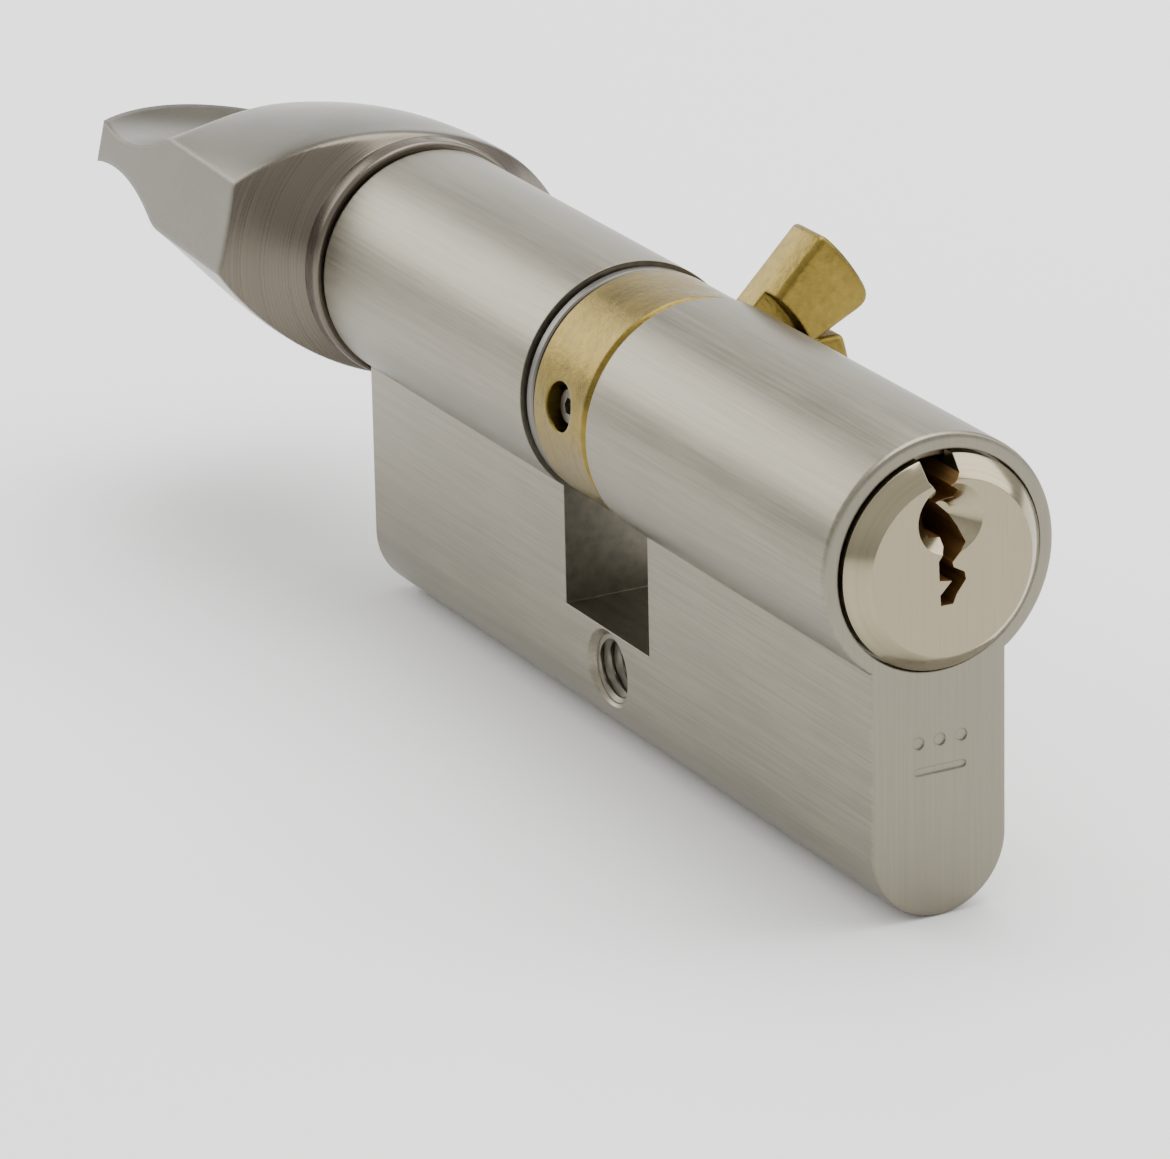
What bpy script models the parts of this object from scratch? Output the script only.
"""Euro profile lock cylinder with a key plug at one end and a thumbturn at the other.

World frame: the plug axis runs along Y with the key end at -Y, +Z is up, and the origin is
the centre of the M5 fixing-screw hole.  Sizes are in millimetres and are turned to metres
as each mesh is made.  "Rise" is a height above the plug axis, "station" a place along Y.
"""

import math

import bmesh
import bpy
from mathutils import Matrix, Vector

MM = 0.001

# The euro profile (DIN 18252): a round barrel on a flat flank.
BARREL_RADIUS = 8.5
FLANK_WIDTH = 10.0
PROFILE_HEIGHT = 33.0
KEY_LENGTH = 36.0
KNOB_LENGTH = 36.0
EDGE_BREAK = 0.43

# The fixing screw's hole, which is the origin.
SCREW_BELOW_AXIS = 18.5
SCREW_HOLE_RADIUS = 2.45
SINK_RADIUS = 2.9
SINK_DEPTH = 0.5

# The gap that the cam turns in.
GAP_FRONT = 4.2
GAP_REAR = 5.3
SLOT_FRONT = 6.1
SLOT_REAR = 5.9
SLOT_REACH = 15.5
SLOT_TOP_RADIUS = 8.1

# Clearances.
RUNNING_GAP = 0.3
HEAD_GAP = 0.2
PIN_GAP = 0.2

# The key plug.
BORE_RADIUS = 6.75
HEAD_RADIUS = 7.25
HEAD_FACE_RADIUS = 5.95
HEAD_PROUD = 1.6
HEAD_RIM_PROUD = 0.35
HEAD_RECESS = 1.0
KEYWAY_MOUTH_RADIUS = 2.4
KEYWAY_MOUTH_RISE = 3.3
KEYWAY_MOUTH_DEPTH = 1.5

# The journals that carry the cam, one on the plug and one on the spindle.
JOURNAL_RADIUS = 5.2
GROOVE_RADIUS = 4.75
POCKET_RADIUS = 3.6
WING_SLOT_WIDTH = 2.8
JOURNAL_END = 1.6
CIRCLIP_THICKNESS = 0.8
CIRCLIP_RADIUS = 7.2
CIRCLIP_RECESS = 1.4
CIRCLIP_OPENING = 5.0
GROOVE_INSET = 0.5

# The pin tumblers.
PIN_COUNT = 5
PIN_RADIUS = 1.3
FIRST_PIN = 6.2
PIN_PITCH = 4.2
KEY_PIN_LENGTHS = (3.6, 4.6, 4.1, 5.0, 3.9)
KEY_PIN_HEADROOM = 1.7
PIN_POINT = 0.7
DRIVER_LENGTH = 5.0
SPRING_WIRE_RADIUS = 0.18
SPRING_TURNS = 6
SPRING_SIDE_GAP = 0.05
PIN_PROUD = 0.05
CHAMBER_PLUG_LENGTH = 2.4
CHAMBER_PLUG_EXTRA = 0.05
CHAMBER_PLUG_SUNK = 0.25

# Hardened pins that stop a drill.
GUARD_RADIUS = 1.0
BODY_GUARD_STATION = 2.7
PLUG_GUARD_STATION = 2.2
PLUG_GUARD_OFFSET = 3.9
PLUG_GUARD_HALF_LENGTH = 4.2

# The sliding coupling between plug and spindle.
COUPLING_LENGTH = 4.9
COUPLING_TRAVEL = 2.0
WING_LENGTH = 2.3
WING_REACH = 4.6
COUPLING_WIRE_RADIUS = 0.25
COUPLING_SPRING_TURNS = 4
COUPLING_SPRING_INSET = 0.9
COUPLING_SPRING_ROOM = 2.3

# The cam: a ring with one lever.
CAM_RADIUS = 8.3
CAM_FRONT_BEVEL = 0.8
CAM_REAR_BEVEL = 0.2
CAM_REAR = 3.85
LEVER_REACH = 15.1
LEVER_THICKNESS = 4.1
LEVER_LOW_ANGLE = 23.5
LEVER_HIGH_ANGLE = 48.0
LEVER_FLARE = 9.5
LEVER_ROOT_DEPTH = 1.2
LEVER_UNDERCUT = 1.6
LEVER_UNDERCUT_RADIUS = 9.8
TOE_REACH = 12.2
TOE_LOW_ANGLE = 7.0
TOE_HIGH_ANGLE = 19.0
TOE_ROOT_LOW_ANGLE = -1.0
TOE_ROOT_HIGH_ANGLE = 31.0
TOE_ROOT_DEPTH = 1.0
CAM_SCREW_STATION = 0.2
CAM_SCREW_ANGLE = 172.5
CAM_SCREW_RADIUS = 1.45
CAM_SCREW_HOLE_RADIUS = 1.75
CAM_SCREW_TOP = 7.5
CAM_SCREW_TIP_RADIUS = 0.8
CAM_SCREW_TIP = 4.5

# The ring that holds the spindle in its barrel.
SPINDLE_RING_RADIUS = 8.2
SPINDLE_RING_THICKNESS = 0.85
SPINDLE_RING_OPENING = 4.5
SPINDLE_RING_STANDOFF = 0.1

# The spindle and the knob on its tail.
TAIL_RADIUS = 5.0
TAIL_LENGTH = 12.0
TAIL_FLAT = 4.4
TAIL_FLAT_LEAD = 3.0
KNOB_TILT = -13.0
COLLAR_RADIUS = 8.9
COLLAR_LENGTH = 1.7
FLARE_LENGTH = 4.0
KNOB_HALF_WIDTH = 13.4
KNOB_TIP_HALF_WIDTH = 11.4
KNOB_LENGTH_AT_SIDE = 32.3
KNOB_TIP_BULGE = 4.5
KNOB_HALF_THICKNESS = 9.1
KNOB_CROWN_RADIUS = 51.0
KNOB_CROWN_START = 4.7
KNOB_EDGE_HALF_THICKNESS = 3.4
FLATTEST_CROWN = 0.05
FLARE_HOLLOW = 0.35
COLLAR_BREAK = 0.3
COLLAR_STANDOFF = 0.05
SCOOP_RADIUS = 13.9
SCOOP_SWEEP_RADIUS = 30.0
SCOOP_FROM_TIP = 3.6
WEB_HALF_THICKNESS = 1.15
GRUB_RADIUS = 1.9
GRUB_HOLE_RADIUS = 2.1
GRUB_STATION = 9.0
GRUB_OUTER = 7.2

# Facets.
LARGE_STEPS = 64
MEDIUM_STEPS = 40
SMALL_STEPS = 20
COIL_POINTS = 8
KNOB_COLUMNS = 20
KNOB_SIDE_COLUMNS = 3
FLARE_ROWS = 3
CROWN_ROWS = 7
SCOOP_ROWS = 9

# Sizes that follow from the ones above.
AXIS = SCREW_BELOW_AXIS
FLANK_HALF = FLANK_WIDTH / 2
FLANK_BOTTOM = BARREL_RADIUS - PROFILE_HEIGHT
KEY_FACE = -KEY_LENGTH
PLUG_RADIUS = BORE_RADIUS - RUNNING_GAP
CAM_FRONT = -(GAP_FRONT - HEAD_GAP)
SPINDLE_END = -(JOURNAL_END - RUNNING_GAP)
POCKET_DEPTH = COUPLING_TRAVEL + COUPLING_SPRING_ROOM
PIN_HOLE_RADIUS = PIN_RADIUS + PIN_GAP
KNOB_FRONT = KNOB_LENGTH + RUNNING_GAP + COLLAR_STANDOFF
KNOB_TIP_AT_SIDE = KNOB_LENGTH + KNOB_LENGTH_AT_SIDE + RUNNING_GAP
FLARE_START = KNOB_FRONT + COLLAR_LENGTH
FLARE_END = FLARE_START + FLARE_LENGTH
BEYOND_KNOB = 99.0

# How far a cutter runs past the face that it opens.
BEYOND = 1.0


# ---------------------------------------------------------------- helpers

def new_collection(name):
    group = bpy.data.collections.new(name)
    bpy.context.scene.collection.children.link(group)
    return group


def new_material(name, colour, roughness):
    material = bpy.data.materials.new(name)
    material.use_nodes = True
    shader = material.node_tree.nodes["Principled BSDF"]
    shader.inputs["Base Color"].default_value = (*colour, 1.0)
    shader.inputs["Roughness"].default_value = roughness
    shader.inputs["Metallic"].default_value = 1.0
    material.diffuse_color = (*colour, 1.0)
    return material


def add_object(name, mesh, material=None):
    """A visible piece with a material, or a hidden cutter without one."""
    thing = bpy.data.objects.new(name, mesh)
    if material:
        PARTS.objects.link(thing)
        mesh.materials.append(material)
    else:
        CUTTERS.objects.link(thing)
        thing.hide_render = True
        thing.display_type = "WIRE"
    return thing


def shade(thing):
    """Smooth shading that stays crisp at real edges."""
    thing.data.shade_smooth()
    thing.data.set_sharp_from_angle(angle=math.radians(30))
    return thing


def turned(name, outline, material=None, ring=False, steps=LARGE_STEPS):
    """A body turned about the plug axis, from (radius, station) points ordered key end first."""
    mesh = bpy.data.meshes.new(name)
    points = [(radius * MM, 0.0, -station * MM) for radius, station in outline]
    edges = [(index, index + 1) for index in range(len(points) - 1)]
    if ring:
        edges.append((len(points) - 1, 0))
    mesh.from_pydata(points, edges, [])
    thing = add_object(name, mesh, material)
    thing.rotation_euler = (math.pi / 2, 0.0, 0.0)
    thing.location = (0.0, 0.0, AXIS * MM)
    screw = thing.modifiers.new("Turn", "SCREW")
    screw.steps = steps
    screw.render_steps = steps
    screw.use_merge_vertices = True
    screw.merge_threshold = 0.00001
    screw.use_smooth_shade = True
    return thing


def rod(name, radius, start, end, material=None, end_radius=None, steps=SMALL_STEPS):
    """A round bar or cone between two points, with its origin at the start."""
    start_point = Vector(start)
    run = Vector(end) - start_point
    length = run.length
    maker = bmesh.new()
    bmesh.ops.create_cone(
        maker,
        cap_ends=True,
        segments=steps,
        radius1=radius * MM,
        radius2=(radius if end_radius is None else end_radius) * MM,
        depth=length * MM,
        matrix=Matrix.Translation((0.0, 0.0, length * MM / 2)),
    )
    mesh = bpy.data.meshes.new(name)
    maker.to_mesh(mesh)
    maker.free()
    thing = add_object(name, mesh, material)
    thing.location = start_point * MM
    thing.rotation_euler = Vector((0.0, 0.0, 1.0)).rotation_difference(run).to_euler()
    return shade(thing)


def block(name, low, high, material=None):
    """A box between two corners."""
    maker = bmesh.new()
    bmesh.ops.create_cube(maker, size=1.0)
    size = Vector(high) - Vector(low)
    middle = (Vector(high) + Vector(low)) / 2
    bmesh.ops.scale(maker, vec=size * MM, verts=maker.verts)
    bmesh.ops.translate(maker, vec=middle * MM, verts=maker.verts)
    mesh = bpy.data.meshes.new(name)
    maker.to_mesh(mesh)
    maker.free()
    return add_object(name, mesh, material)


def extruded(name, outline, first_station, last_station, material=None):
    """A flat (x, rise) outline drawn out along Y."""
    curve = bpy.data.curves.new(name + "_outline", "CURVE")
    curve.dimensions = "2D"
    curve.fill_mode = "BOTH"
    curve.extrude = (last_station - first_station) * MM / 2
    spline = curve.splines.new("POLY")
    spline.points.add(len(outline) - 1)
    for point, (x, rise) in zip(spline.points, outline):
        point.co = (x * MM, rise * MM, 0.0, 1.0)
    spline.use_cyclic_u = True
    guide = bpy.data.objects.new(name + "_outline", curve)
    CUTTERS.objects.link(guide)
    guide.rotation_euler = (math.pi / 2, 0.0, 0.0)
    guide.location = (0.0, (first_station + last_station) * MM / 2, AXIS * MM)
    bpy.context.view_layer.update()
    solid = guide.evaluated_get(bpy.context.evaluated_depsgraph_get())
    mesh = bpy.data.meshes.new_from_object(solid)
    tidy_mesh(mesh)
    thing = add_object(name, mesh, material)
    thing.matrix_world = guide.matrix_world
    bpy.data.objects.remove(guide)
    bpy.data.curves.remove(curve)
    return thing


def tidy_mesh(mesh):
    """Welds loose caps, joins flat faces and points every face outwards."""
    maker = bmesh.new()
    maker.from_mesh(mesh)
    bmesh.ops.remove_doubles(maker, verts=maker.verts, dist=0.000001)
    bmesh.ops.dissolve_limit(
        maker, angle_limit=math.radians(0.5), verts=maker.verts, edges=maker.edges
    )
    bmesh.ops.recalc_face_normals(maker, faces=maker.faces)
    maker.to_mesh(mesh)
    maker.free()


def boolean(thing, tool, operation="DIFFERENCE"):
    modifier = thing.modifiers.new(tool.name, "BOOLEAN")
    modifier.operation = operation
    modifier.object = tool
    return thing


def arc(centre, radius, first, last, count):
    """Points on a circle, from the first angle to the last, in degrees."""
    points = []
    for index in range(count + 1):
        angle = math.radians(first + (last - first) * index / count)
        points.append((centre[0] + radius * math.cos(angle), centre[1] + radius * math.sin(angle)))
    return points


def radial(radius, angle, station):
    """A world point at a distance from the plug axis, with the angle measured from +X to +Z."""
    turn = math.radians(angle)
    return (radius * math.cos(turn), station, AXIS + radius * math.sin(turn))


def coil(name, radius, wire, turns, start, direction, length, material):
    """An open coil spring that starts at a point and runs along a direction."""
    curve = bpy.data.curves.new(name, "CURVE")
    curve.dimensions = "3D"
    curve.bevel_depth = wire * MM
    curve.bevel_resolution = 2
    curve.use_fill_caps = True
    curve.materials.append(material)
    spline = curve.splines.new("POLY")
    steps = turns * COIL_POINTS
    spline.points.add(steps)
    for index, point in enumerate(spline.points):
        angle = 2 * math.pi * index / COIL_POINTS
        height = wire + (length - 2 * wire) * index / steps
        place = (radius * math.cos(angle), radius * math.sin(angle), height)
        point.co = (place[0] * MM, place[1] * MM, place[2] * MM, 1.0)
    thing = bpy.data.objects.new(name, curve)
    PARTS.objects.link(thing)
    thing.location = Vector(start) * MM
    turn = Vector((0.0, 0.0, 1.0)).rotation_difference(Vector(direction))
    thing.rotation_euler = turn.to_euler()
    return thing


def pin_station(index):
    return KEY_FACE + FIRST_PIN + PIN_PITCH * index


def carry(axis, *things):
    """Parents the things to an axis empty and leaves them where they are."""
    bpy.context.view_layer.update()
    for thing in things:
        place = thing.matrix_world.copy()
        thing.parent = axis
        thing.matrix_world = place


def new_axis(name):
    axis = bpy.data.objects.new(name, None)
    axis.location = (0.0, 0.0, AXIS * MM)
    PARTS.objects.link(axis)
    return axis


# ---------------------------------------------------------------- housing

def profile_outline():
    """The euro profile: barrel arc over the top, flank sides and rounded foot."""
    foot = math.degrees(math.acos(FLANK_HALF / BARREL_RADIUS))
    outline = arc((0.0, 0.0), BARREL_RADIUS, -foot, 180 + foot, LARGE_STEPS)
    outline += arc((0.0, FLANK_BOTTOM + FLANK_HALF), FLANK_HALF, 180, 360, SMALL_STEPS)
    return outline


def make_body(material):
    body = extruded("cylinder_body", profile_outline(), KEY_FACE, KNOB_LENGTH, material)
    bevel = body.modifiers.new("Edge break", "BEVEL")
    bevel.width = EDGE_BREAK * MM
    bevel.segments = 1
    bevel.limit_method = "ANGLE"
    bevel.angle_limit = math.radians(60)
    boolean(body, key_bore_cutter())
    boolean(body, knob_bore_cutter())
    boolean(body, gap_cutter())
    boolean(body, flank_slot_cutter())
    boolean(body, screw_hole_cutter())
    for side in (-1, 1):
        boolean(body, screw_sink_cutter(side))
    for index in range(PIN_COUNT):
        boolean(body, chamber_cutter(index))
    boolean(body, body_guard_cutter())
    return body


def key_bore_cutter():
    """The plug's bore, with the head's counterbore and the circlip's recess."""
    beyond = 1.0
    head = HEAD_RADIUS + HEAD_GAP
    recess = CIRCLIP_RADIUS + RUNNING_GAP
    recess_floor = -GAP_FRONT - CIRCLIP_RECESS
    outline = [
        (0.0, KEY_FACE - beyond),
        (head, KEY_FACE - beyond),
        (head, KEY_FACE + HEAD_RECESS),
        (BORE_RADIUS, KEY_FACE + HEAD_RECESS),
        (BORE_RADIUS, recess_floor),
        (recess, recess_floor),
        (recess, -GAP_FRONT + beyond),
        (0.0, -GAP_FRONT + beyond),
    ]
    return turned("key_bore_cutter", outline)


def knob_bore_cutter():
    beyond = 1.0
    outline = [
        (0.0, GAP_REAR - beyond),
        (BORE_RADIUS, GAP_REAR - beyond),
        (BORE_RADIUS, KNOB_LENGTH + beyond),
        (0.0, KNOB_LENGTH + beyond),
    ]
    return turned("knob_bore_cutter", outline)


def gap_cutter():
    """Parts the two barrels, down to the slot's floor."""
    reach = BARREL_RADIUS + BEYOND
    low = (-reach, -GAP_FRONT, AXIS - SLOT_REACH)
    high = (reach, GAP_REAR, AXIS + reach)
    return block("gap_cutter", low, high)


def flank_slot_cutter():
    """Widens the gap in the flank, up to the barrels' round underside."""
    reach = FLANK_HALF + BEYOND
    low = (-reach, -SLOT_FRONT, AXIS - SLOT_REACH)
    high = (reach, SLOT_REAR, AXIS - SLOT_TOP_RADIUS / 2)
    cutter = block("flank_slot_cutter", low, high)
    underside = [
        (0.0, -SLOT_FRONT - BEYOND),
        (SLOT_TOP_RADIUS, -SLOT_FRONT - BEYOND),
        (SLOT_TOP_RADIUS, SLOT_REAR + BEYOND),
        (0.0, SLOT_REAR + BEYOND),
    ]
    return boolean(cutter, turned("slot_top_guide", underside))


def screw_hole_cutter():
    reach = FLANK_HALF + BEYOND
    return rod(
        "screw_hole_cutter",
        SCREW_HOLE_RADIUS,
        (-reach, 0.0, 0.0),
        (reach, 0.0, 0.0),
        steps=MEDIUM_STEPS,
    )


def screw_sink_cutter(side):
    beyond = 1.0
    slope = (SINK_RADIUS - SCREW_HOLE_RADIUS) / SINK_DEPTH
    return rod(
        "screw_sink_cutter_left" if side < 0 else "screw_sink_cutter_right",
        SINK_RADIUS + slope * beyond,
        (side * (FLANK_HALF + beyond), 0.0, 0.0),
        (side * (FLANK_HALF - SINK_DEPTH), 0.0, 0.0),
        end_radius=SCREW_HOLE_RADIUS,
        steps=MEDIUM_STEPS,
    )


def chamber_cutter(index):
    """A pin chamber, drilled from the foot of the flank into the plug's bore."""
    station = pin_station(index)
    return rod(
        f"chamber_cutter_{index + 1}",
        PIN_HOLE_RADIUS + 0.05,
        (0.0, station, AXIS + FLANK_BOTTOM - BEYOND),
        (0.0, station, AXIS - BORE_RADIUS + BEYOND),
    )


def body_guard_cutter():
    station = KEY_FACE + BODY_GUARD_STATION
    return rod(
        "body_guard_cutter",
        GUARD_RADIUS + PIN_GAP,
        (0.0, station, AXIS + FLANK_BOTTOM - BEYOND),
        (0.0, station, AXIS - BORE_RADIUS - RUNNING_GAP),
    )


def make_body_guard(material):
    station = KEY_FACE + BODY_GUARD_STATION
    return rod(
        "body_drill_guard",
        GUARD_RADIUS,
        (0.0, station, AXIS + FLANK_BOTTOM + 0.3),
        (0.0, station, AXIS - BORE_RADIUS - 2 * RUNNING_GAP),
        material,
    )


# ---------------------------------------------------------------- pins

def make_pin_stack(index, materials, plug_axis):
    """One stack in its chamber: key pin, driver pin, spring and chamber plug."""
    station = pin_station(index)
    number = index + 1
    key_pin_foot = AXIS - PLUG_RADIUS - PIN_PROUD
    driver_top = AXIS - BORE_RADIUS + PIN_PROUD
    driver_foot = driver_top - DRIVER_LENGTH
    length = KEY_PIN_LENGTHS[index]
    key_pin = pin_body(
        f"key_pin_{number}", station, key_pin_foot, key_pin_foot + length, PIN_POINT, materials["brass"]
    )
    driver = pin_body(
        f"driver_pin_{number}", station, driver_foot, driver_top, PIN_GAP, materials["steel"]
    )
    foot = AXIS + FLANK_BOTTOM + CHAMBER_PLUG_SUNK
    chamber_plug = rod(
        f"chamber_plug_{number}",
        PIN_RADIUS + CHAMBER_PLUG_EXTRA,
        (0.0, station, foot),
        (0.0, station, foot + CHAMBER_PLUG_LENGTH),
        materials["brass"],
    )
    spring_foot = foot + CHAMBER_PLUG_LENGTH + PIN_GAP
    spring = coil(
        f"pin_spring_{number}",
        PIN_RADIUS - SPRING_WIRE_RADIUS - SPRING_SIDE_GAP,
        SPRING_WIRE_RADIUS,
        SPRING_TURNS,
        (0.0, station, spring_foot),
        (0.0, 0.0, 1.0),
        driver_foot - PIN_GAP - spring_foot,
        materials["spring"],
    )
    carry(plug_axis, key_pin)
    return key_pin, driver, spring, chamber_plug


def pin_body(name, station, low, high, point, material):
    """A round pin with a tapered top and a small break at its foot."""
    edge = 0.15
    outline = [
        (0.0, high - low),
        (PIN_RADIUS - point, high - low),
        (PIN_RADIUS, high - low - point),
        (PIN_RADIUS, edge),
        (PIN_RADIUS - edge, 0.0),
        (0.0, 0.0),
    ]
    mesh = bpy.data.meshes.new(name)
    points = [(radius * MM, 0.0, height * MM) for radius, height in outline]
    mesh.from_pydata(points, [(step, step + 1) for step in range(len(points) - 1)], [])
    thing = add_object(name, mesh, material)
    thing.location = (0.0, station * MM, low * MM)
    screw = thing.modifiers.new("Turn", "SCREW")
    screw.steps = SMALL_STEPS
    screw.render_steps = SMALL_STEPS
    screw.use_merge_vertices = True
    screw.merge_threshold = 0.00001
    screw.use_smooth_shade = True
    return thing


# ---------------------------------------------------------------- key plug

def keyway_outline():
    """The zigzag section of the keyway, as (x, rise), open at the top of the plug."""
    top = HEAD_RADIUS + BEYOND
    left = [
        (-1.7, top), (-1.6, 6.0), (-1.0, 5.1), (-1.9, 4.4), (-1.9, 3.3), (-1.4, 2.1),
        (-0.4, 1.9), (-0.4, 1.4), (-1.0, 0.6), (-0.95, -0.7), (-0.05, -0.85), (-0.9, -1.7),
        (-0.85, -2.4),
    ]
    right = [
        (0.05, -2.4), (0.3, -1.8), (1.0, -0.9), (0.9, -0.4), (0.1, 0.05), (0.0, 0.4),
        (1.1, 1.5), (0.9, 2.4), (0.6, 3.1), (-0.35, 4.0), (0.65, 4.4), (0.7, 5.0),
        (0.0, 5.5), (0.7, 6.2), (0.85, top),
    ]
    return left + right


def make_plug(material):
    """The turned plug with its keyway, pin holes and the coupling's pocket."""
    face = KEY_FACE - HEAD_PROUD
    head_back = KEY_FACE + HEAD_RECESS - RUNNING_GAP
    shoulder = -GAP_FRONT - CIRCLIP_RECESS - RUNNING_GAP
    groove_start = shoulder + GROOVE_INSET
    groove_end = groove_start + CIRCLIP_THICKNESS + 2 * PIN_GAP
    outline = [
        (0.0, face),
        (HEAD_FACE_RADIUS, face),
        (HEAD_RADIUS, KEY_FACE - HEAD_RIM_PROUD),
        (HEAD_RADIUS, head_back),
        (PLUG_RADIUS, head_back),
        (PLUG_RADIUS, shoulder),
        (JOURNAL_RADIUS, shoulder),
        (JOURNAL_RADIUS, groove_start),
        (GROOVE_RADIUS, groove_start),
        (GROOVE_RADIUS, groove_end),
        (JOURNAL_RADIUS, groove_end),
        (JOURNAL_RADIUS, -JOURNAL_END),
        (POCKET_RADIUS, -JOURNAL_END),
        (POCKET_RADIUS, plug_pocket_floor()),
        (0.0, plug_pocket_floor()),
    ]
    plug = turned("key_plug", outline, material)
    keyway = extruded("keyway_cutter", keyway_outline(), face - BEYOND, plug_pocket_floor() + 0.5)
    boolean(plug, keyway)
    boolean(plug, keyway_mouth_cutter(face))
    boolean(plug, wing_slot_cutter("plug_wing_slot_cutter", -JOURNAL_END - WING_LENGTH - RUNNING_GAP, 0.0))
    for index in range(PIN_COUNT):
        boolean(plug, plug_pin_hole_cutter(index))
    for side in (-1, 1):
        boolean(plug, plug_guard_cutter(side))
    return plug


def plug_pocket_floor():
    return -JOURNAL_END - COUPLING_LENGTH - RUNNING_GAP


def keyway_mouth_cutter(face):
    """The cone that leads the key's tip into the keyway."""
    beyond = 0.5
    slope = 1.1
    return rod(
        "keyway_mouth_cutter",
        KEYWAY_MOUTH_RADIUS + slope * beyond,
        (0.0, face - beyond, AXIS + KEYWAY_MOUTH_RISE),
        (0.0, face + KEYWAY_MOUTH_DEPTH, AXIS + KEYWAY_MOUTH_RISE),
        end_radius=KEYWAY_MOUTH_RADIUS - slope * KEYWAY_MOUTH_DEPTH,
        steps=MEDIUM_STEPS,
    )


def wing_slot_cutter(name, first_station, last_station):
    """A slot across a journal, upright, that the coupling's wings slide in."""
    half = WING_SLOT_WIDTH / 2
    reach = JOURNAL_RADIUS + 0.5
    return block(name, (-half, first_station, AXIS - reach), (half, last_station, AXIS + reach))


def plug_pin_hole_cutter(index):
    station = pin_station(index)
    top = AXIS - PLUG_RADIUS + max(KEY_PIN_LENGTHS) + KEY_PIN_HEADROOM
    return rod(
        f"plug_pin_hole_cutter_{index + 1}",
        PIN_HOLE_RADIUS,
        (0.0, station, AXIS - PLUG_RADIUS - BEYOND),
        (0.0, station, top),
    )


def plug_guard_cutter(side):
    station = KEY_FACE + PLUG_GUARD_STATION
    return rod(
        "plug_guard_cutter_left" if side < 0 else "plug_guard_cutter_right",
        GUARD_RADIUS + PIN_GAP,
        (side * PLUG_GUARD_OFFSET, station, AXIS - PLUG_RADIUS - BEYOND),
        (side * PLUG_GUARD_OFFSET, station, AXIS + PLUG_GUARD_HALF_LENGTH + PIN_GAP),
    )


def make_plug_guard(side, material):
    station = KEY_FACE + PLUG_GUARD_STATION
    return rod(
        "plug_drill_guard_left" if side < 0 else "plug_drill_guard_right",
        GUARD_RADIUS,
        (side * PLUG_GUARD_OFFSET, station, AXIS - PLUG_GUARD_HALF_LENGTH),
        (side * PLUG_GUARD_OFFSET, station, AXIS + PLUG_GUARD_HALF_LENGTH),
        material,
    )


def open_ring(name, inner, outer, first_station, thickness, opening, material):
    """A flat retaining ring with an opening towards +X."""
    last_station = first_station + thickness
    outline = [(inner, first_station), (outer, first_station), (outer, last_station), (inner, last_station)]
    ring = turned(name, outline, material, ring=True)
    low = (0.0, first_station - BEYOND, AXIS - opening / 2)
    high = (outer + BEYOND, last_station + BEYOND, AXIS + opening / 2)
    return boolean(ring, block(name + "_opening_cutter", low, high))


def make_circlip(material):
    groove_start = -GAP_FRONT - CIRCLIP_RECESS - RUNNING_GAP + GROOVE_INSET
    return open_ring(
        "plug_circlip",
        GROOVE_RADIUS + PIN_GAP,
        CIRCLIP_RADIUS,
        groove_start + PIN_GAP,
        CIRCLIP_THICKNESS,
        CIRCLIP_OPENING,
        material,
    )


# ---------------------------------------------------------------- coupling

def make_coupling(material):
    """A round core with two wings, which slides back when a key is pushed home."""
    front = -JOURNAL_END - COUPLING_LENGTH
    core_radius = POCKET_RADIUS - RUNNING_GAP
    outline = [
        (0.0, front),
        (core_radius - 0.5, front),
        (core_radius, front + 0.5),
        (core_radius, -JOURNAL_END),
        (0.0, -JOURNAL_END),
    ]
    core = turned("coupling", outline, material, steps=MEDIUM_STEPS)
    half = WING_SLOT_WIDTH / 2 - RUNNING_GAP
    low = (-half, -JOURNAL_END - WING_LENGTH, AXIS - WING_REACH)
    high = (half, -JOURNAL_END, AXIS + WING_REACH)
    return boolean(core, block("coupling_wings_guide", low, high), "UNION")


def make_coupling_spring(material):
    start = -JOURNAL_END + PIN_GAP
    end = SPINDLE_END + POCKET_DEPTH - PIN_GAP
    return coil(
        "coupling_spring",
        POCKET_RADIUS - COUPLING_WIRE_RADIUS - COUPLING_SPRING_INSET,
        COUPLING_WIRE_RADIUS,
        COUPLING_SPRING_TURNS,
        (0.0, start, AXIS),
        (0.0, 1.0, 0.0),
        end - start,
        material,
    )


# ---------------------------------------------------------------- cam

def cam_station(depth):
    """A station on the cam, measured back from its front face."""
    return CAM_FRONT + depth


def lever_outline():
    """The lever's head, which flares outwards, with its sides run down into the ring."""
    head = arc((0.0, 0.0), LEVER_REACH, LEVER_LOW_ANGLE, LEVER_HIGH_ANGLE, SMALL_STEPS)
    middle = (LEVER_LOW_ANGLE + LEVER_HIGH_ANGLE) / 2
    depth = LEVER_REACH - CAM_RADIUS + LEVER_ROOT_DEPTH
    low_turn = math.radians(middle - LEVER_FLARE)
    high_turn = math.radians(middle + LEVER_FLARE)
    low_root = (head[0][0] - depth * math.cos(low_turn), head[0][1] - depth * math.sin(low_turn))
    high_root = (head[-1][0] - depth * math.cos(high_turn), head[-1][1] - depth * math.sin(high_turn))
    return head + [high_root, low_root]


def toe_outline():
    """A short heel beside the lever's root."""
    toe = arc((0.0, 0.0), TOE_REACH, TOE_LOW_ANGLE, TOE_HIGH_ANGLE, 4)
    root = arc((0.0, 0.0), CAM_RADIUS - TOE_ROOT_DEPTH, TOE_ROOT_HIGH_ANGLE, TOE_ROOT_LOW_ANGLE, 4)
    return toe + root


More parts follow.
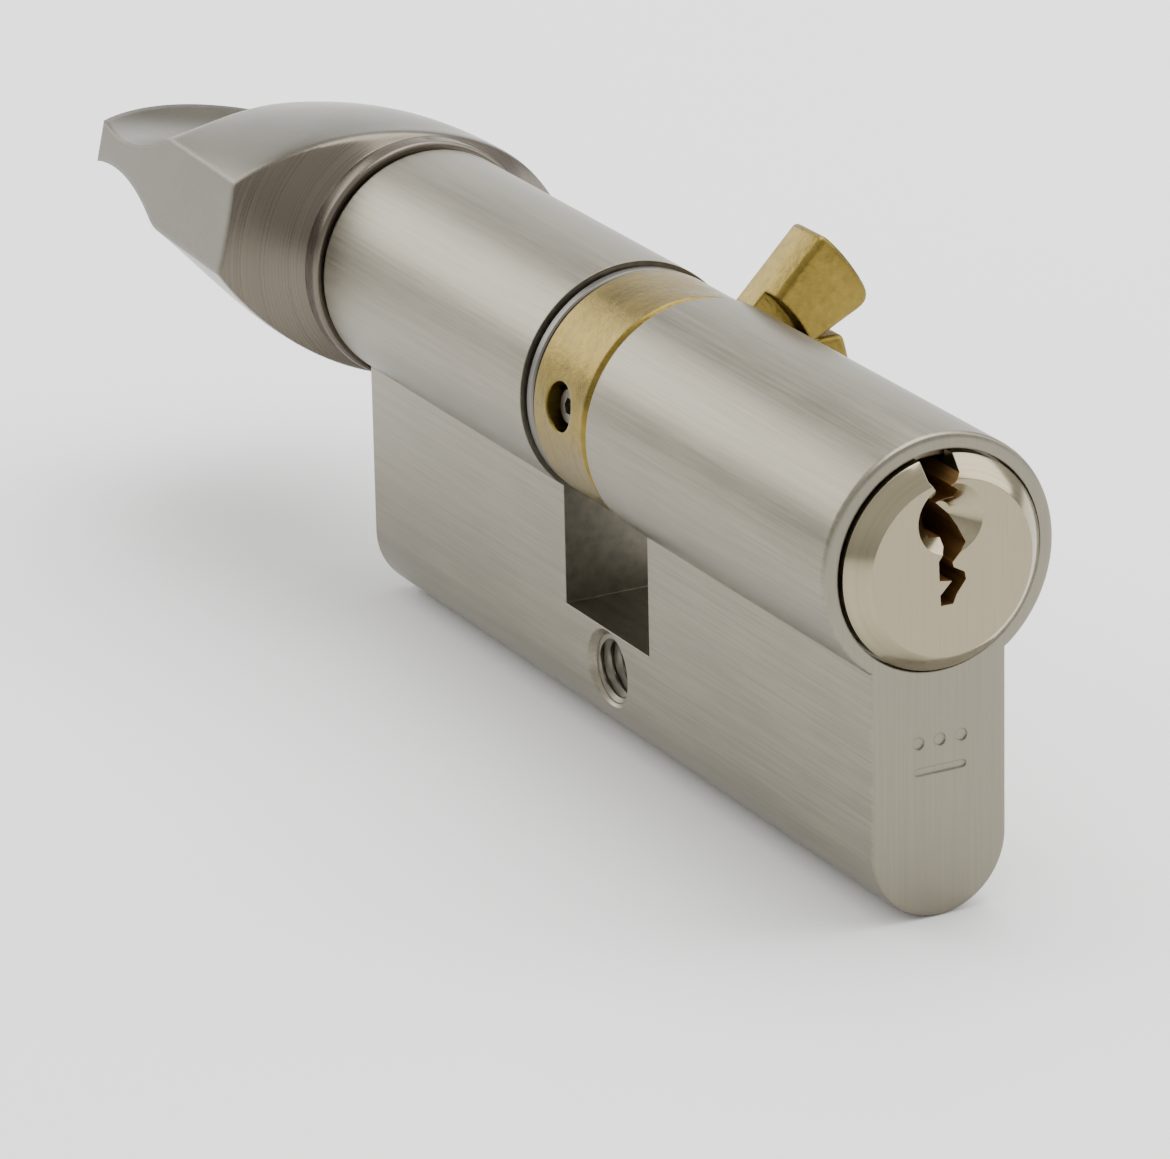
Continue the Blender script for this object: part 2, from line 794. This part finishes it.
def make_cam(material):
    outline = [
        (CAM_RADIUS - CAM_FRONT_BEVEL, CAM_FRONT),
        (CAM_RADIUS, cam_station(CAM_FRONT_BEVEL)),
        (CAM_RADIUS, CAM_REAR - CAM_REAR_BEVEL),
        (CAM_RADIUS - CAM_REAR_BEVEL, CAM_REAR),
        (JOURNAL_RADIUS + RUNNING_GAP, CAM_REAR),
        (JOURNAL_RADIUS + RUNNING_GAP, CAM_FRONT),
    ]
    cam = turned("cam", outline, material, ring=True)
    lever = extruded("lever_guide", lever_outline(), CAM_FRONT, cam_station(LEVER_THICKNESS))
    toe = extruded("toe_guide", toe_outline(), CAM_FRONT, cam_station(LEVER_THICKNESS))
    boolean(lever, lever_undercut_cutter())
    boolean(lever, toe, "UNION")
    boolean(cam, lever, "UNION")
    hole = rod(
        "cam_screw_hole_cutter",
        CAM_SCREW_HOLE_RADIUS,
        radial(JOURNAL_RADIUS - 0.5, CAM_SCREW_ANGLE, CAM_SCREW_STATION),
        radial(CAM_RADIUS + BEYOND, CAM_SCREW_ANGLE, CAM_SCREW_STATION),
    )
    return boolean(cam, hole)


def lever_undercut_cutter():
    """Relieves the front of the lever's root, so that it stands off the ring's bevel."""
    outline = [
        (CAM_RADIUS - 2.0, CAM_FRONT - BEYOND),
        (LEVER_UNDERCUT_RADIUS, CAM_FRONT - BEYOND),
        (LEVER_UNDERCUT_RADIUS, cam_station(LEVER_UNDERCUT)),
        (CAM_RADIUS - 2.0, cam_station(LEVER_UNDERCUT)),
    ]
    return turned("lever_undercut_cutter", outline, ring=True)


def make_cam_screw(material):
    """The dog-point screw that pins the cam to the spindle."""
    tip = rod(
        "cam_screw_tip_guide",
        CAM_SCREW_TIP_RADIUS,
        radial(CAM_SCREW_TIP, CAM_SCREW_ANGLE, CAM_SCREW_STATION),
        radial(CAM_SCREW_TOP - 1.0, CAM_SCREW_ANGLE, CAM_SCREW_STATION),
    )
    screw = rod(
        "cam_screw",
        CAM_SCREW_RADIUS,
        radial(JOURNAL_RADIUS + RUNNING_GAP, CAM_SCREW_ANGLE, CAM_SCREW_STATION),
        radial(CAM_SCREW_TOP, CAM_SCREW_ANGLE, CAM_SCREW_STATION),
        material,
    )
    return boolean(screw, tip, "UNION")


# ---------------------------------------------------------------- spindle and knob

def make_spindle(material):
    pocket_floor = SPINDLE_END + POCKET_DEPTH
    groove_start = CAM_REAR + SPINDLE_RING_STANDOFF
    groove_end = groove_start + SPINDLE_RING_THICKNESS + 2 * PIN_GAP
    shoulder = GAP_REAR + RUNNING_GAP
    tail_start = KNOB_LENGTH - RUNNING_GAP
    outline = [
        (0.0, pocket_floor),
        (POCKET_RADIUS, pocket_floor),
        (POCKET_RADIUS, SPINDLE_END),
        (JOURNAL_RADIUS, SPINDLE_END),
        (JOURNAL_RADIUS, groove_start),
        (GROOVE_RADIUS, groove_start),
        (GROOVE_RADIUS, groove_end),
        (JOURNAL_RADIUS, groove_end),
        (JOURNAL_RADIUS, shoulder),
        (PLUG_RADIUS, shoulder),
        (PLUG_RADIUS, tail_start),
        (TAIL_RADIUS, tail_start),
        (TAIL_RADIUS, KNOB_LENGTH + TAIL_LENGTH),
        (0.0, KNOB_LENGTH + TAIL_LENGTH),
    ]
    spindle = turned("spindle", outline, material)
    slot_end = SPINDLE_END + COUPLING_TRAVEL + PIN_GAP
    boolean(spindle, wing_slot_cutter("spindle_wing_slot_cutter", SPINDLE_END - BEYOND, slot_end))
    dimple = rod(
        "cam_screw_dimple_cutter",
        CAM_SCREW_TIP_RADIUS + PIN_GAP,
        radial(CAM_SCREW_TIP - PIN_GAP, CAM_SCREW_ANGLE, CAM_SCREW_STATION),
        radial(JOURNAL_RADIUS + BEYOND, CAM_SCREW_ANGLE, CAM_SCREW_STATION),
    )
    boolean(spindle, dimple)
    return boolean(spindle, tail_flat_cutter())


def tail_flat_cutter():
    """The flat on the tail's underside that the knob's grub screw bears on."""
    reach = TAIL_RADIUS + BEYOND
    first = KNOB_LENGTH + GRUB_STATION - TAIL_FLAT_LEAD
    low = (-reach, first, -reach)
    high = (reach, KNOB_LENGTH + TAIL_LENGTH + BEYOND, -TAIL_FLAT)
    cutter = block("tail_flat_cutter", low, high)
    cutter.location = (0.0, 0.0, AXIS * MM)
    cutter.rotation_euler = (0.0, -math.radians(KNOB_TILT), 0.0)
    return cutter


def make_spindle_ring(material):
    return open_ring(
        "spindle_ring",
        GROOVE_RADIUS + PIN_GAP,
        SPINDLE_RING_RADIUS,
        CAM_REAR + SPINDLE_RING_STANDOFF + PIN_GAP,
        SPINDLE_RING_THICKNESS,
        SPINDLE_RING_OPENING,
        material,
    )


def knob_half_width(station):
    share = max(0.0, station - FLARE_END) / (KNOB_TIP_AT_SIDE - FLARE_END)
    return KNOB_HALF_WIDTH + (KNOB_TIP_HALF_WIDTH - KNOB_HALF_WIDTH) * share


def crown_height(across, station):
    """The crown is an arc over the knob's width, and falls along another arc to the tip."""
    past = max(0.0, station - KNOB_FRONT - KNOB_CROWN_START)
    middle = KNOB_HALF_THICKNESS - past * past / (2 * KNOB_CROWN_RADIUS)
    half = knob_half_width(station)
    rise = middle - KNOB_EDGE_HALF_THICKNESS
    if rise < FLATTEST_CROWN:
        return KNOB_EDGE_HALF_THICKNESS
    radius = (half * half + rise * rise) / (2 * rise)
    return middle - radius + math.sqrt(radius * radius - across * across)


def scoop_height(across, station):
    """The floor of a finger scoop: a round groove swept across the knob on a wide arc."""
    sag = SCOOP_SWEEP_RADIUS - math.sqrt(SCOOP_SWEEP_RADIUS ** 2 - KNOB_TIP_HALF_WIDTH ** 2)
    centre = KNOB_TIP_AT_SIDE - SCOOP_FROM_TIP + sag - SCOOP_SWEEP_RADIUS
    off = math.hypot(across, station - centre) - SCOOP_SWEEP_RADIUS
    if abs(off) >= SCOOP_RADIUS:
        return BEYOND_KNOB
    return WEB_HALF_THICKNESS + SCOOP_RADIUS - math.sqrt(SCOOP_RADIUS ** 2 - off * off)


def tip_station(across):
    """The tip is rounded in plan."""
    radius = (KNOB_TIP_HALF_WIDTH ** 2 + KNOB_TIP_BULGE ** 2) / (2 * KNOB_TIP_BULGE)
    return KNOB_TIP_AT_SIDE + KNOB_TIP_BULGE - radius + math.sqrt(radius ** 2 - across ** 2)


def flare_radius(station):
    """The lathe's slightly hollow flare between the collar and the knob's corners."""
    corner = math.hypot(KNOB_HALF_WIDTH, KNOB_EDGE_HALF_THICKNESS)
    share = (station - FLARE_START) / FLARE_LENGTH
    straight = COLLAR_RADIUS + (corner - COLLAR_RADIUS) * share
    return straight - FLARE_HOLLOW * math.sin(math.pi * min(1.0, max(0.0, share)))


def crossing(low, high, is_past):
    """The place between two stations where a test first turns true, by halving."""
    for _ in range(40):
        middle = (low + high) / 2
        if is_past(middle):
            high = middle
        else:
            low = middle
    return high


def blank_point(share, side, station):
    """A point of the crowned blank, by its share of the half width and its side."""
    across = share * knob_half_width(station)
    return across, side * min(crown_height(across, station), scoop_height(across, station))


def column_stations(share, side):
    """Where one column of the knob's mesh has its rows, with rows on the two real creases."""
    def blank_is_inside(station):
        return math.hypot(*blank_point(share, side, station)) < flare_radius(station)

    def scoop_is_lower(station):
        across = share * knob_half_width(station)
        return scoop_height(across, station) < crown_height(across, station)

    flare_crease = crossing(FLARE_START, FLARE_END + 1.0, blank_is_inside)
    tip = crossing(
        KNOB_TIP_AT_SIDE - 1.0,
        KNOB_TIP_AT_SIDE + KNOB_TIP_BULGE + 1.0,
        lambda station: station > tip_station(share * knob_half_width(station)),
    )
    scoop_crease = crossing(FLARE_END, KNOB_TIP_AT_SIDE - SCOOP_FROM_TIP, scoop_is_lower)
    rows = []
    for first, last, count in (
        (FLARE_START, flare_crease, FLARE_ROWS),
        (flare_crease, scoop_crease, CROWN_ROWS),
        (scoop_crease, tip, SCOOP_ROWS),
    ):
        rows += [first + (last - first) * step / count for step in range(1, count + 1)]
    return rows


def knob_column(share, side):
    """One column of (x, station, z) points along the knob, from the collar to the tip."""
    start = blank_point(share, side, FLARE_START)
    size = math.hypot(*start)
    column = []
    for radius, station in (
        (COLLAR_RADIUS - COLLAR_BREAK, KNOB_FRONT),
        (COLLAR_RADIUS, KNOB_FRONT + COLLAR_BREAK),
        (COLLAR_RADIUS, FLARE_START),
    ):
        column.append((start[0] * radius / size, station, start[1] * radius / size))
    for row, station in enumerate(column_stations(share, side)):
        x, z = blank_point(share, side, station)
        if row < FLARE_ROWS:
            scale = flare_radius(station) / math.hypot(x, z)
            x, z = x * scale, z * scale
        column.append((x, station, z))
    return column


def tip_strips(across, sides):
    """The tip's cap as strips, each given by the columns that it joins; the end strips take in the sides."""
    strips = []
    for index in range(across):
        strip = [index, index + 1]
        if index == across - 1:
            strip += range(across + 1, across + sides + 1)
        strip += [2 * across + sides - index, 2 * across + sides + 1 - index]
        if index == 0:
            strip += range(2 * across + sides + 2, 2 * (across + sides) + 2)
        strips.append(strip)
    return strips


def knob_blank():
    """The solid knob: columns over each broad face and down each side, capped at both ends."""
    shares = [math.sin(math.radians(90 - 180 * step / KNOB_COLUMNS)) for step in range(KNOB_COLUMNS + 1)]
    sides = KNOB_SIDE_COLUMNS
    heights = [1 - 2 * step / (sides + 1) for step in range(1, sides + 1)]
    columns = [knob_column(share, 1) for share in shares]
    columns += [knob_column(-1, height) for height in heights]
    columns += [knob_column(-share, -1) for share in shares]
    columns += [knob_column(1, -height) for height in heights]
    maker = bmesh.new()
    verts = []
    for column in columns:
        verts.append([maker.verts.new([value * MM for value in point]) for point in column])
    around = len(verts)
    for index, column in enumerate(verts):
        following = verts[(index + 1) % around]
        for row in range(len(column) - 1):
            maker.faces.new((column[row], following[row], following[row + 1], column[row + 1]))
    maker.faces.new([column[0] for column in verts])
    for strip in tip_strips(KNOB_COLUMNS, sides):
        maker.faces.new([verts[place][-1] for place in strip])
    bmesh.ops.recalc_face_normals(maker, faces=maker.faces)
    mesh = bpy.data.meshes.new("thumbturn_knob")
    maker.to_mesh(mesh)
    maker.free()
    return mesh


def make_knob(material):
    """The knob, drawn level and then tilted about the plug axis."""
    knob = add_object("thumbturn_knob", knob_blank(), material)
    knob.location = (0.0, 0.0, AXIS * MM)
    knob.rotation_euler = (0.0, -math.radians(KNOB_TILT), 0.0)
    shade(knob)
    bore_end = KNOB_LENGTH + TAIL_LENGTH + RUNNING_GAP
    bore = [
        (0.0, KNOB_FRONT - BEYOND),
        (TAIL_RADIUS + RUNNING_GAP, KNOB_FRONT - BEYOND),
        (TAIL_RADIUS + RUNNING_GAP, bore_end),
        (0.0, bore_end),
    ]
    boolean(knob, turned("knob_bore_cutter_tail", bore))
    station = KNOB_LENGTH + GRUB_STATION
    hole = rod(
        "grub_hole_cutter",
        GRUB_HOLE_RADIUS,
        radial(TAIL_FLAT - BEYOND, KNOB_TILT - 90, station),
        radial(KNOB_HALF_THICKNESS + 3.0, KNOB_TILT - 90, station),
    )
    return boolean(knob, hole)


def make_grub_screw(material):
    station = KNOB_LENGTH + GRUB_STATION
    angle = KNOB_TILT - 90
    return rod(
        "knob_grub_screw",
        GRUB_RADIUS,
        radial(TAIL_FLAT + RUNNING_GAP, angle, station),
        radial(GRUB_OUTER, angle, station),
        material,
    )


# ---------------------------------------------------------------- assembly

def clear_scene():
    for thing in list(bpy.data.objects):
        bpy.data.objects.remove(thing)


def make_materials():
    return {
        "nickel": new_material("satin_nickel", (0.60, 0.58, 0.54), 0.32),
        "silver": new_material("nickel_silver", (0.62, 0.57, 0.48), 0.25),
        "brass": new_material("yellow_brass", (0.66, 0.51, 0.22), 0.30),
        "steel": new_material("bright_steel", (0.60, 0.60, 0.60), 0.22),
        "spring": new_material("spring_steel", (0.42, 0.42, 0.43), 0.30),
        "knob": new_material("satin_nickel_knob", (0.52, 0.49, 0.44), 0.30),
    }


def main():
    materials = make_materials()
    make_body(materials["nickel"])
    make_body_guard(materials["steel"])

    plug_axis = new_axis("plug_axis")
    plug = make_plug(materials["silver"])
    circlip = make_circlip(materials["spring"])
    guards = [make_plug_guard(side, materials["steel"]) for side in (-1, 1)]
    coupling = make_coupling(materials["steel"])
    carry(plug_axis, plug, circlip, coupling, *guards)
    for index in range(PIN_COUNT):
        make_pin_stack(index, materials, plug_axis)

    thumbturn_axis = new_axis("thumbturn_axis")
    pieces = [
        make_cam(materials["brass"]),
        make_cam_screw(materials["steel"]),
        make_spindle(materials["brass"]),
        make_spindle_ring(materials["steel"]),
        make_coupling_spring(materials["spring"]),
        make_knob(materials["knob"]),
        make_grub_screw(materials["steel"]),
    ]
    carry(thumbturn_axis, *pieces)


clear_scene()
PARTS = new_collection("euro_cylinder")
CUTTERS = new_collection("cutters")
main()
